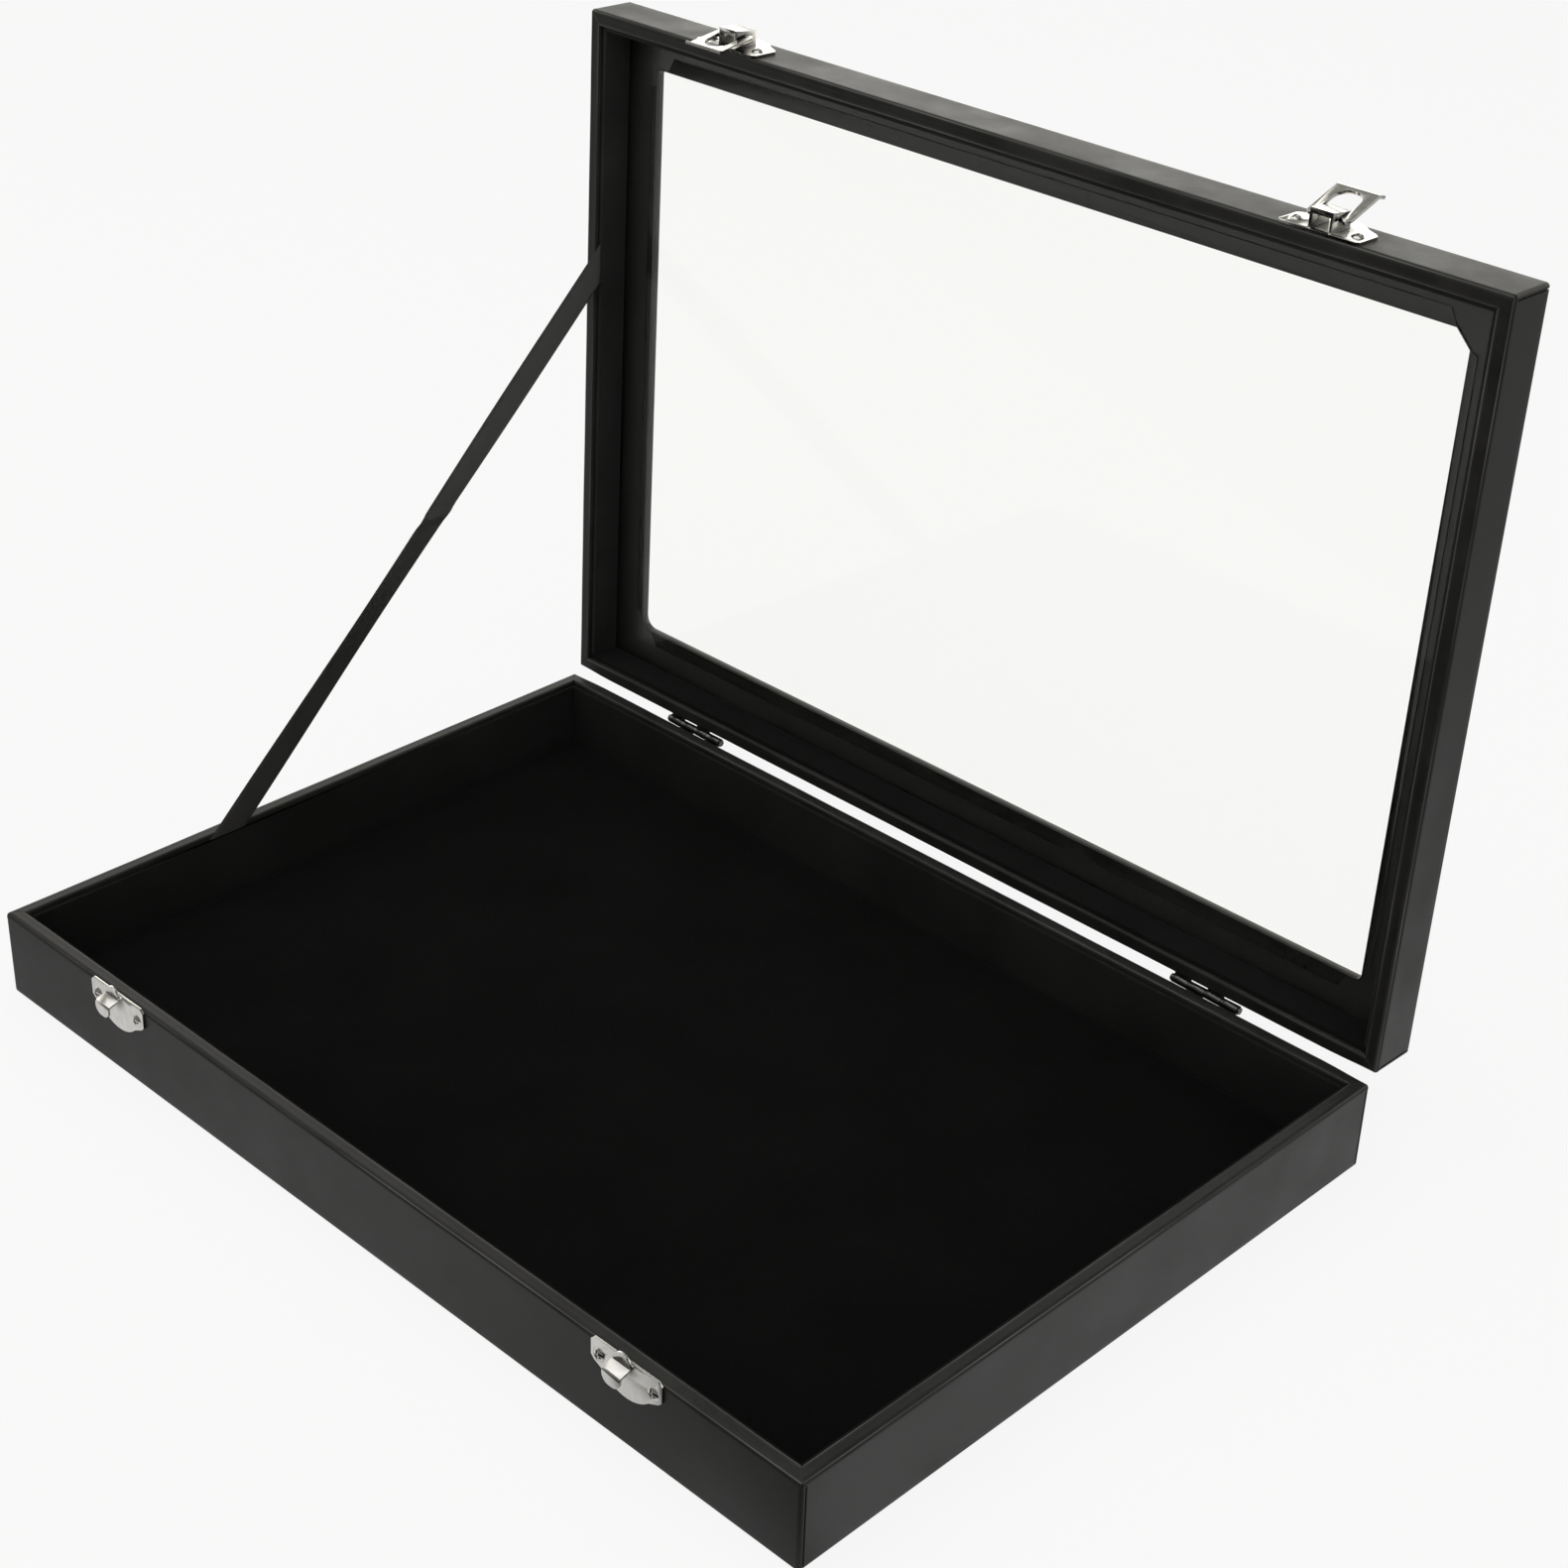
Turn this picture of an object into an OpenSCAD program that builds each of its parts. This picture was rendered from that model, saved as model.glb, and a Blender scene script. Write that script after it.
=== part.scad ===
// Display box with a glazed lid: a covered board case, a framed glass lid on two hinges, two loop clasps
// and one side strap. It is drawn standing open, as the strap holds it. Millimetres, +Z up, +Y to the back,
// with the origin at the middle of the underside.

/* [Case] */
// Width of the case over its covering
case_w = 350; // [250:1:450]
// Depth of the case over its covering
case_d = 240; // [170:1:320]
// Height of the base, from the surface it stands on to its rim
base_h = 29.5; // [26:0.5:60]
// Height of the lid, from its rim to its face
lid_h = 17.4; // [15:0.1:40]
// Seam between the two rims when the lid is closed
lid_gap = 0.6; // [0.4:0.1:1.5]
// Angle from closed at which the strap holds the lid
lid_rest_angle = 91.6; // [85:0.1:110]
// Thickness of the wall boards
wall_board_t = 3.6; // [3:0.1:6]
// Thickness of the leatherette
cover_t = 0.6; // [0.4:0.05:0.9]
// Rounding of the covered long edges
edge_r = 0.8; // [0.7:0.1:1.5]
// Rounding of the upright corners
corner_r = 1.2; // [1:0.1:4]
// How far the leatherette is turned over onto the faces of the base and the lid
flap_w = 2.5; // [1.5:0.1:4]
// How far it is turned down inside the base
base_turn_in = 14; // [6:0.5:18]
// How far it is turned down inside the lid
lid_turn_in = 9; // [5:0.5:11]

/* [Inside] */
// Thickness of the board in the bottom
bottom_board_t = 3; // [2:0.1:5]
// Thickness of the velvet-covered card on the walls
lining_t = 1.5; // [1.3:0.1:3]
// How far the card stays below the rims
lining_drop = 1.5; // [0.5:0.1:4]
// Thickness of the velvet-covered pad on the floor
pad_t = 3.2; // [2:0.1:6]
// Gap round the pad
pad_gap = 0.3; // [0.1:0.1:1]

/* [Window] */
// Width of the frame from the outside to the window
window_border = 18.2; // [14:0.1:30]
// Thickness of the board that carries the window
frame_board_t = 2; // [1.5:0.1:4]
// Thickness of the leatherette round the window's edge
reveal_t = 0.5; // [0.3:0.05:0.8]
// Thickness of the leatherette that is turned in behind the frame
turn_in_t = 0.4; // [0.3:0.05:0.8]
// Width of the turned-in strips at the sides
turn_in_side = 2.7; // [2:0.1:6]
// Width of the turned-in strips at the front and the back
turn_in_front = 5.1; // [2:0.1:7]
// Slanted cut of the window's front right corner
window_cut = 5; // [1:0.1:8]
// Rounding of the window's back left corner
window_back_r = 4.5; // [1:0.1:8]
// Rounding of its other two corners
window_r = 2; // [0.5:0.1:6]
// Thickness of the glass
glass_t = 2; // [1.5:0.1:3]
// Gap between the glass and the wall boards
glass_gap = 0.3; // [0.1:0.1:1]

/* [Clasps] */
// Distance of each clasp's middle from the end of the case
clasp_inset = 62; // [30:1:100]
// Length of a clasp's plates along the seam
plate_w = 26.6; // [25:0.1:32]
// Radius of a plate's round belly
belly_r = 11.9; // [10:0.1:12.5]
// Distance of the belly's centre from the straight edge of a catch's plate
catch_plate_up = 1; // [0:0.1:2]
// Distance of the belly's centre from the straight edge of a hasp's plate
hasp_plate_up = 4.1; // [2:0.1:4.1]
// How far a plate's ends reach beyond the belly's centre
plate_end = 6; // [4.5:0.1:6.5]
// Slanted cut of a plate's end corners
plate_cut = 1.2; // [0.5:0.1:2]
// Thickness of the plates
plate_t = 0.8; // [0.5:0.1:1]
// Distance of the catch's straight edge above the base's rim
catch_edge = 0.5; // [0:0.1:0.7]
// Distance of the hasp's straight edge above the lid's rim
hasp_edge = 0.4; // [0.3:0.1:0.6]
// Width of the hook
hook_w = 6.8; // [6:0.1:7]
// Thickness of the hook's metal
hook_t = 0.8; // [0.5:0.1:1]
// Distance of the hook's upright tab from the case
tab_out = 1.6; // [1.2:0.1:2]
// Distance of the hook's front from the case
hook_out = 6.2; // [5.8:0.1:6.8]
// Slope of the shelf between the tab and the front
shelf_slope = 17; // [5:1:25]
// Outer radius of the bend between the shelf and the front
hook_bend_r = 1.2; // [1.2:0.1:1.6]
// Distance of the hook's tip below the rim
hook_len = 5.3; // [4.5:0.1:6]
// Rounding of the hook's tip
hook_tip_r = 2.8; // [2:0.1:3]
// Width of the bridge that carries the loop
bridge_w = 7.6; // [7.2:0.1:8]
// Length of the bridge across the plate
bridge_l = 9; // [7:0.1:9.5]
// Height of the bridge above the plate at the seam
bridge_h = 5.5; // [5.3:0.1:7]
// Height of the bridge above the plate at its other end
bridge_back_h = 4.5; // [4.4:0.1:7]
// Thickness of the bridge's metal
bridge_wall = 0.8; // [0.5:0.1:1]
// Height of the strip that closes the top of the bridge's end at the seam
bridge_lintel = 1.65; // [1:0.05:1.8]
// Distance of the bridge from the plate's straight edge
bridge_edge = 1.4; // [1.3:0.1:3]
// Distance of the loop's pintles from the bridge's end at the seam
pintle_edge = 3.8; // [3.4:0.1:5]
// Height of the loop's pintles above the plate
pintle_h = 3.1; // [2.5:0.1:3.2]
// Width of the loop over its arms
loop_w = 14; // [13.5:0.1:16]
// Width of each arm
loop_arm_w = 2.5; // [1.5:0.1:2.6]
// Thickness of the loop
loop_t = 1; // [0.8:0.1:1.2]
// Width of the bar that goes under the hook
loop_bar = 1.2; // [1:0.1:3]
// Length of the finger lip on the loop's end
lip_len = 1.5; // [1:0.1:3]
// Width of the lip at its edge
lip_w = 15.4; // [14:0.1:17]
// Bend of the lip, away from the case
lip_bend = 30; // [10:1:50]
// Diameter of the loop's pintles
pintle_d = 1.2; // [0.8:0.05:1.6]
// Radial clearance of the pintles in the bridge
pintle_fit = 0.06; // [0.02:0.01:0.1]
// Clearance between the latched loop and the catch
loop_clearance = 0.4; // [0.3:0.05:1]
// Swing of a loop that lies back, from hanging straight down
loop_back_angle = 160; // [120:1:165]

/* [Screws] */
// Distance between a plate's two screws
screw_pitch = 20.4; // [19.5:0.1:21]
// Distance of the screws from the plate's straight edge
screw_drop = 5; // [3:0.1:5.5]
// Diameter of the screw heads
screw_head_d = 4.2; // [2.5:0.1:4.4]
// Height of the screw heads
screw_head_h = 0.9; // [0.5:0.1:1.2]
// Diameter of the shanks
screw_d = 1.6; // [1:0.1:2]
// Radial clearance of the shanks
screw_fit = 0.05; // [0.02:0.01:0.1]
// Board left beyond the screw's point
screw_end = 0.4; // [0.2:0.1:1]

/* [Hinges] */
// Distance of each hinge's middle from the end of the case
hinge_inset = 62; // [30:1:100]
// Length of a hinge's barrel
hinge_len = 25; // [18:0.5:40]
// Diameter of the barrel
barrel_d = 3; // [2.6:0.1:4]
// Gap between the barrel and the back of the case
barrel_gap = 0.25; // [0.2:0.05:0.6]
// Gap between neighbouring knuckles
knuckle_gap = 0.15; // [0.1:0.05:0.4]
// Diameter of the pins
pin_d = 1.5; // [1:0.1:1.8]
// Radial clearance of the pins
pin_fit = 0.05; // [0.02:0.01:0.1]
// Thickness of the heads on the pins' ends
pin_head_t = 0.5; // [0.3:0.1:1]
// Thickness of the leaves
leaf_t = 0.6; // [0.4:0.05:0.9]
// How far the leaves stay below the rims
leaf_drop = 0.2; // [0.1:0.05:0.4]
// How deep the leaves go into the back walls
leaf_depth = 8; // [5:0.5:10]
// Gap round the leaves in their slots
leaf_fit = 0.1; // [0.05:0.05:0.2]

/* [Strap] */
// Width of the strap
strap_w = 10; // [6:0.5:14]
// Thickness of the strap
strap_t = 0.8; // [0.5:0.1:1]
// Distance from the hinge pins at which it leaves the base
strap_base_reach = 159; // [90:1:165]
// Distance from the hinge pins at which it enters the lid
strap_lid_reach = 154.5; // [90:0.5:165]
// Length of each end behind the lining
strap_tuck = 9; // [6:0.5:9.5]
// Gap round the strap's ends
strap_gap = 0.15; // [0.1:0.05:0.2]

/* [Hidden] */
$fn = 64;

// Sides are numbered front, right, back, left, and left and right hardware is at LEFT and RIGHT times X.
FRONT = 0;
RIGHT_SIDE = 1;
BACK = 2;
LEFT_SIDE = 3;
LEFT = -1;
RIGHT = 1;
// Overshoot of the cuts that run out of a face
cut = 1;

LEATHERETTE = "#1c1c1e";
VELVET = "#0b0b0c";
BOARD = "#4a4038";
GLASS = [0.86, 0.9, 0.87, 0.35];
NICKEL = "#c9c8c4";

// Case
rim_w = wall_board_t + 2 * cover_t;
lid_rim_z = base_h + lid_gap;
floor_z = cover_t + bottom_board_t;
// Lid layers, as depths below its face
turn_in_v = cover_t + frame_board_t;
glass_v = turn_in_v + turn_in_t;
lid_lining_v = glass_v + glass_t;
// Window
window_w = case_w - 2 * window_border;
window_d = case_d - 2 * window_border;
// Hinges
pin_y = case_d / 2 + barrel_d / 2 + barrel_gap;
pin_z = base_h + lid_gap / 2;
knuckle_count = 4;
knuckle_l = (hinge_len - (knuckle_count - 1) * knuckle_gap) / knuckle_count;
hinge_x = case_w / 2 - hinge_inset;
leaf_y = case_d / 2 - cover_t - wall_board_t / 2 - leaf_t / 2;
pin_head_r = (barrel_d + pin_d) / 4;
// Clasps
clasp_x = case_w / 2 - clasp_inset;
pivot_up = hasp_edge + bridge_edge + pintle_edge;
pivot_out = plate_t + pintle_h;
shelf_x = tab_out + hook_t;
bend_x = hook_out - hook_bend_r;
bend_z = -(bend_x + hook_bend_r * sin(shelf_slope) - shelf_x) * tan(shelf_slope) - hook_bend_r * cos(shelf_slope);
bend_steps = 6;
hook_reach = norm([hook_out - pivot_out, pivot_up + lid_gap + hook_len]);
loop_hole_w = loop_w - 2 * loop_arm_w;
loop_hole_l = hook_reach + loop_clearance;
loop_len = loop_hole_l + loop_bar;
loop_latched_angle = -asin((pivot_out - plate_t - loop_t / 2 - loop_clearance) / loop_len);
screw_shank_l = plate_t + cover_t + wall_board_t - screw_end;
// Strap, in the plane of the left wall's inner face
strap_x = -case_w / 2 + rim_w + strap_gap;
strap_base_end = [pin_y - strap_base_reach, base_h];
strap_lid_end = [
    pin_y + strap_lid_reach * sin(lid_rest_angle - 90) + lid_gap / 2,
    pin_z + strap_lid_reach * cos(lid_rest_angle - 90)
];
strap_run = norm(strap_lid_end - strap_base_end);
strap_slope = atan2(strap_lid_end[1] - strap_base_end[1], strap_lid_end[0] - strap_base_end[0]);

function side_len(side) = side % 2 == 0 ? case_w : case_d;
function side_across(side) = side % 2 == 0 ? case_d : case_w;

// Placing

// Puts a piece drawn along X, with its outer face at y = 0 and its inside at +y, onto one side of the case
module on_side(side) {
    rotate([0, 0, 90 * side])
        translate([0, -side_across(side) / 2, 0])
            children();
}

// Puts a piece drawn from the lid's face (z = 0) towards its rim onto the closed lid
module on_lid_face() {
    translate([0, 0, lid_rim_z + lid_h])
        mirror([0, 0, 1])
            children();
}

module turn_about_pin(angle) {
    translate([0, pin_y, pin_z])
        rotate([angle, 0, 0])
            translate([0, -pin_y, -pin_z])
                children();
}

// Swings the closed lid back to where the strap holds it
module open_lid() {
    turn_about_pin(-lid_rest_angle)
        children();
}

// Shapes

module centred_box(size, z) {
    translate([-size[0] / 2, -size[1] / 2, z])
        cube(size);
}

module rounded_rect(w, d, r) {
    square([w - 2 * r, d], center = true);
    square([w, d - 2 * r], center = true);
    for (x = [-1, 1], y = [-1, 1])
        translate([x * (w / 2 - r), y * (d / 2 - r)])
            circle(r);
}

// Section of the covering, x inwards from the outer face and y from the closed side to the rim
module wrap_section(h, turn_in) {
    difference() {
        union() {
            translate([edge_r, 0])
                square([rim_w - 2 * edge_r, h]);
            translate([0, edge_r])
                square([rim_w, h - 2 * edge_r]);
            for (x = [edge_r, rim_w - edge_r], y = [edge_r, h - edge_r])
                translate([x, y])
                    circle(edge_r);
        }
        translate([cover_t, cover_t])
            square([wall_board_t, h - 2 * cover_t]);
        translate([flap_w, -cut])
            square([rim_w, cut + cover_t]);
        translate([rim_w - cover_t, -cut])
            square([cover_t + cut, cut + h - turn_in]);
    }
}

// Covering of one side, mitred at its ends
module wrap(side, h, turn_in) {
    len = side_len(side);
    on_side(side)
        intersection() {
            rotate([90, 0, 90])
                linear_extrude(len, center = true)
                    wrap_section(h, turn_in);
            linear_extrude(h)
                polygon([
                    [-len / 2, 0], [len / 2, 0],
                    [len / 2 - rim_w, rim_w], [-len / 2 + rim_w, rim_w]
                ]);
            translate([0, side_across(side) / 2, 0])
                linear_extrude(h)
                    rounded_rect(len, side_across(side), corner_r);
        }
}

// Board of one side: the front and the back run through, and the side boards stand between them
module wall_board(side, h) {
    runs_through = side % 2 == 0;
    len = side_len(side) - 2 * cover_t - (runs_through ? 0 : 2 * wall_board_t);
    intersection() {
        on_side(side)
            translate([-len / 2, cover_t, cover_t])
                cube([len, wall_board_t, h - 2 * cover_t]);
        linear_extrude(h)
            rounded_rect(case_w - 2 * cover_t, case_d - 2 * cover_t, max(corner_r - cover_t, 0.2));
    }
}

// Velvet-covered card on one inner wall, between two depths from the closed side
module lining(side, low, high) {
    runs_through = side % 2 == 0;
    len = side_len(side) - 2 * rim_w - (runs_through ? 0 : 2 * lining_t);
    on_side(side)
        translate([-len / 2, rim_w, low])
            cube([len, lining_t, high - low]);
}

// Window, grown outwards by a margin, with its own cut or rounding at each corner
module window_shape(margin) {
    w = window_w + 2 * margin;
    d = window_d + 2 * margin;
    // The cut moves outwards with the edges
    slant = window_cut + margin * (2 - sqrt(2));
    difference() {
        square([w, d], center = true);
        translate([w / 2, -d / 2])
            rotate(45)
                square(slant * sqrt(2), center = true);
        for (corner = [[-1, -1, window_r], [1, 1, window_r], [-1, 1, window_back_r]])
            at_corner(corner[0], corner[1], w, d)
                corner_fillet(corner[2] + margin);
    }
}

module at_corner(x, y, w, d) {
    translate([x * w / 2, y * d / 2])
        mirror([x > 0 ? 1 : 0, 0])
            mirror([0, y > 0 ? 1 : 0])
                children();
}

// What a rounding of radius r takes off a corner at the origin that opens towards +x and +y
module corner_fillet(r) {
    difference() {
        translate([-cut, -cut])
            square(r + cut);
        translate([r, r])
            circle(r);
    }
}

// Outline of a clasp plate: a round belly with two ends, and its straight edge on y = 0
module plate_outline(up) {
    half = plate_w / 2;
    end = up + plate_end;
    shoulder = [belly_r * cos(45), up + belly_r * sin(45)];
    polygon([
        [-half + plate_cut, 0], [half - plate_cut, 0], [half, plate_cut], [half, end - plate_cut / 2],
        [half - plate_cut, end + plate_cut / 2], shoulder,
        [-shoulder[0], shoulder[1]], [-half + plate_cut, end + plate_cut / 2], [-half, end - plate_cut / 2],
        [-half, plate_cut]
    ]);
    intersection() {
        translate([0, up])
            circle(belly_r);
        translate([-belly_r, 0])
            square([2 * belly_r, up + belly_r]);
    }
}

// Plate with its screw holes, standing on the front face: y runs out of the case
module clasp_plate(up) {
    rotate([90, 0, 0])
        linear_extrude(plate_t)
            difference() {
                plate_outline(up);
                for (x = [-1, 1])
                    translate([x * screw_pitch / 2, screw_drop])
                        circle(screw_d / 2 + screw_fit);
            }
}

// Holes for a plate's screws, through the covering and into the board
module screw_bores() {
    for (x = [-1, 1])
        translate([x * screw_pitch / 2, -cut, screw_drop])
            rotate([-90, 0, 0])
                cylinder(r = screw_d / 2 + screw_fit, h = cut + screw_shank_l - plate_t);
}

// A plate's two screws, with domed heads and crossed slots
module screw_pair() {
    dome_r = (pow(screw_head_d / 2, 2) + pow(screw_head_h, 2)) / (2 * screw_head_h);
    slot_w = screw_head_d / 6;
    for (x = [-1, 1])
        translate([x * screw_pitch / 2, -plate_t, screw_drop])
            rotate([90, 0, 0]) {
                translate([0, 0, -screw_shank_l])
                    cylinder(d = screw_d, h = screw_shank_l + screw_head_h / 4);
                difference() {
                    intersection() {
                        translate([0, 0, screw_head_h - dome_r])
                            sphere(dome_r);
                        cylinder(d = screw_head_d, h = screw_head_h);
                    }
                    for (turn = [0, 90])
                        rotate(turn)
                            translate([-screw_head_d / 3, -slot_w / 2, screw_head_h / 2])
                                cube([screw_head_d * 2 / 3, slot_w, screw_head_h]);
                }
            }
}

// Clasps

// Catch parts are drawn downwards from the plate's straight edge, and hasp parts upwards
module at_catch(hand) {
    translate([hand * clasp_x, -case_d / 2, base_h + catch_edge])
        mirror([0, 0, 1])
            children();
}

module at_hasp(hand) {
    translate([hand * clasp_x, -case_d / 2, lid_rim_z + hasp_edge])
        children();
}

// Points along the hook's bend at a radius, from the front to the shelf or back
function bend_arc(r, from, to) = [
    for (i = [0 : bend_steps])
        let (a = from + (to - from) * i / bend_steps)
            [bend_x + r * cos(a), bend_z + r * sin(a)]
];

// Section of the hook, x out from the case and y up from the rim: an upright tab on a root in the plate,
// and a shelf that slopes out from the tab and bends down to the tip
module hook_section() {
    inner_r = hook_bend_r - hook_t;
    shelf_turn = 90 - shelf_slope;
    root_x = plate_t / 2;
    root_low = bend_z + inner_r * cos(shelf_slope)
        + (bend_x + inner_r * sin(shelf_slope) - root_x) * tan(shelf_slope);
    tab_top = hook_w / 2 + cut;
    polygon(concat(
        [[root_x, root_low], [root_x, catch_edge], [tab_out, catch_edge]],
        [[tab_out, tab_top], [shelf_x, tab_top], [shelf_x, 0]],
        bend_arc(hook_bend_r, shelf_turn, 0),
        [[hook_out, -hook_len], [hook_out - hook_t, -hook_len]],
        bend_arc(inner_r, 0, shelf_turn)
    ));
}

// Outline of the hook from the front, with a round tab and a rounded tip
module hook_outline() {
    half = hook_w / 2;
    circle(half);
    translate([-half, hook_tip_r - hook_len])
        square([hook_w, hook_len - hook_tip_r]);
    translate([hook_tip_r - half, -hook_len])
        square([hook_w - 2 * hook_tip_r, hook_len]);
    for (x = [-1, 1])
        translate([x * (half - hook_tip_r), hook_tip_r - hook_len])
            circle(hook_tip_r);
}

module hook() {
    intersection() {
        mirror([0, 1, 0])
            rotate([90, 0, 90])
                linear_extrude(hook_w + 2 * cut, center = true)
                    hook_section();
        rotate([90, 0, 0])
            linear_extrude(hook_out + cut)
                hook_outline();
    }
}

module catch_plate(hand) {
    color(NICKEL) {
        at_catch(hand)
            clasp_plate(catch_plate_up);
        translate([hand * clasp_x, -case_d / 2, base_h])
            hook();
    }
}

module catch_screws() {
    color(NICKEL)
        for (hand = [LEFT, RIGHT])
            at_catch(hand)
                screw_pair();
}

// Side view of the bridge or of its passage: x from the seam across the plate, y out of the plate
module bridge_side(first, last, low, drop) {
    function top(x) = bridge_h + (bridge_back_h - bridge_h) * x / bridge_l - drop;
    polygon([[first, low], [last, low], [last, top(last)], [first, top(first)]]);
}

module across_plate(w) {
    translate([0, -plate_t, bridge_edge])
        rotate([0, 90, 0])
            rotate(180)
                linear_extrude(w, center = true)
                    children();
}

module hasp_plate(hand) {
    color(NICKEL)
        open_lid()
            at_hasp(hand)
                difference() {
                    union() {
                        clasp_plate(hasp_plate_up);
                        across_plate(bridge_w)
                            bridge_side(0, bridge_l, -plate_t / 2, 0);
                    }
                    across_plate(bridge_w - 2 * bridge_wall) {
                        bridge_side(bridge_wall, bridge_l + cut, 0, bridge_wall);
                        bridge_side(-cut, bridge_wall + cut, 0, bridge_lintel);
                    }
                    translate([0, -pivot_out, pivot_up - hasp_edge])
                        rotate([0, 90, 0])
                            cylinder(r = pintle_d / 2 + pintle_fit, h = bridge_w + 2 * cut, center = true);
                }
}

module hasp_screws() {
    color(NICKEL)
        open_lid()
            for (hand = [LEFT, RIGHT])
                at_hasp(hand)
                    screw_pair();
}

// Flat outline of the loop, hanging down from its pivot
module loop_outline() {
    hole_r = loop_hole_w / 2;
    difference() {
        union() {
            translate([-loop_w / 2, -loop_len])
                square([loop_w, loop_len]);
            for (x = [-1, 1])
                translate([x * (loop_w - loop_arm_w) / 2, 0])
                    circle(loop_arm_w / 2);
        }
        translate([0, -loop_hole_l + hole_r])
            circle(hole_r);
        translate([-hole_r, -loop_hole_l + hole_r])
            square([loop_hole_w, loop_hole_l + loop_arm_w]);
    }
}

// Loop about its pivot at the origin, with its two pintles and its bent lip
module loop_form() {
    pintle_in = bridge_w / 2 - bridge_wall - pintle_fit;
    pintle_out = loop_w / 2 - loop_arm_w / 2;
    rotate([90, 0, 0])
        linear_extrude(loop_t, center = true)
            loop_outline();
    for (x = [-1, 1])
        translate([x * (pintle_in + pintle_out) / 2, 0, 0])
            rotate([0, 90, 0])
                cylinder(d = pintle_d, h = pintle_out - pintle_in, center = true);
    translate([0, 0, -loop_len])
        rotate([-lip_bend, 0, 0]) {
            rotate([90, 0, 0])
                linear_extrude(loop_t, center = true)
                    polygon([
                        [-loop_w / 2, 0], [loop_w / 2, 0], [lip_w / 2, -lip_len], [-lip_w / 2, -lip_len]
                    ]);
            rotate([0, 90, 0])
                cylinder(d = loop_t, h = loop_w, center = true);
        }
}

module hasp_loop(hand, angle) {
    color(NICKEL)
        open_lid()
            translate([hand * clasp_x, -case_d / 2 - pivot_out, lid_rim_z + pivot_up])
                rotate([-angle, 0, 0])
                    loop_form();
}

// Hinges, drawn about the pin for the base, with the rim below it

module knuckle_run(first) {
    for (i = [first : 2 : knuckle_count - 1])
        translate([-hinge_len / 2 + i * (knuckle_l + knuckle_gap), 0, 0])
            children();
}

// Flat parts of a leaf: the plate in its slot, and a tab and a neck from it to each knuckle.
// For the slot, everything grows by the fit, and the tabs and necks are open to the rim.
module leaf_flats(first, fit) {
    plate_y = leaf_y - pin_y;
    rim_z = -lid_gap / 2;
    bottom = rim_z - leaf_depth;
    neck = rim_z - leaf_drop - leaf_t;
    top = fit > 0 ? rim_z + lid_gap / 2 : neck + leaf_t;
    translate([-hinge_len / 2 - fit, plate_y - fit, bottom - fit])
        cube([hinge_len + 2 * fit, leaf_t + 2 * fit, leaf_depth - cover_t - leaf_drop + fit]);
    knuckle_run(first) {
        translate([-fit, plate_y - fit, bottom])
            cube([knuckle_l + 2 * fit, leaf_t + 2 * fit, top - bottom]);
        translate([-fit, plate_y - fit, neck - fit])
            cube([knuckle_l + 2 * fit, fit - plate_y, top - neck + fit]);
    }
}

module leaf(first) {
    difference() {
        union() {
            leaf_flats(first, 0);
            knuckle_run(first)
                rotate([0, 90, 0])
                    cylinder(d = barrel_d, h = knuckle_l);
        }
        rotate([0, 90, 0])
            cylinder(r = pin_d / 2 + pin_fit, h = hinge_len + 2 * cut, center = true);
    }
}

module at_hinge(hand) {
    translate([hand * hinge_x, pin_y, pin_z])
        children();
}

module hinge_base_leaf(hand) {
    color(NICKEL)
        at_hinge(hand)
            leaf(1);
}

module hinge_lid_leaf(hand) {
    color(NICKEL)
        open_lid()
            at_hinge(hand)
                mirror([0, 0, 1])
                    leaf(0);
}

module hinge_pin(hand) {
    color(NICKEL)
        at_hinge(hand)
            rotate([0, 90, 0]) {
                cylinder(d = pin_d, h = hinge_len + 2 * knuckle_gap, center = true);
                for (end = [-1, 1])
                    translate([0, 0, end * (hinge_len / 2 + knuckle_gap + pin_head_t / 2)])
                        cylinder(r = pin_head_r, h = pin_head_t, center = true);
            }
}

// Slots in the back of the base and of the closed lid
module base_leaf_slots() {
    for (hand = [LEFT, RIGHT])
        at_hinge(hand)
            leaf_flats(1, leaf_fit);
}

module lid_leaf_slots() {
    for (hand = [LEFT, RIGHT])
        at_hinge(hand)
            mirror([0, 0, 1])
                leaf_flats(0, leaf_fit);
}

// Strap

// Straight band from inside the base's left wall to inside the open lid's
module strap_band(fit) {
    translate([strap_x - fit, strap_base_end[0], strap_base_end[1]])
        rotate([strap_slope, 0, 0])
            translate([0, -strap_tuck - fit, -strap_w / 2 - fit])
                cube([strap_t + 2 * fit, strap_run + 2 * strap_tuck + 2 * fit, strap_w + 2 * fit]);
}

module strap() {
    color(LEATHERETTE)
        strap_band(0);
}

// Base

module base_wall(side) {
    color(BOARD)
        difference() {
            wall_board(side, base_h);
            if (side == FRONT)
                for (hand = [LEFT, RIGHT])
                    at_catch(hand)
                        screw_bores();
            if (side == BACK)
                base_leaf_slots();
        }
}

module base_wrap(side) {
    color(LEATHERETTE)
        difference() {
            wrap(side, base_h, base_turn_in);
            if (side == FRONT)
                for (hand = [LEFT, RIGHT])
                    at_catch(hand)
                        screw_bores();
            if (side == BACK)
                base_leaf_slots();
        }
}

module base_lining(side) {
    color(VELVET)
        difference() {
            lining(side, floor_z, base_h - lining_drop);
            if (side == LEFT_SIDE)
                strap_band(strap_gap);
        }
}

module bottom_board() {
    inset = 2 * (cover_t + wall_board_t);
    color(BOARD)
        centred_box([case_w - inset, case_d - inset, bottom_board_t], cover_t);
}

module bottom_cover() {
    color(LEATHERETTE)
        centred_box([case_w - 2 * flap_w, case_d - 2 * flap_w, cover_t], 0);
}

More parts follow.
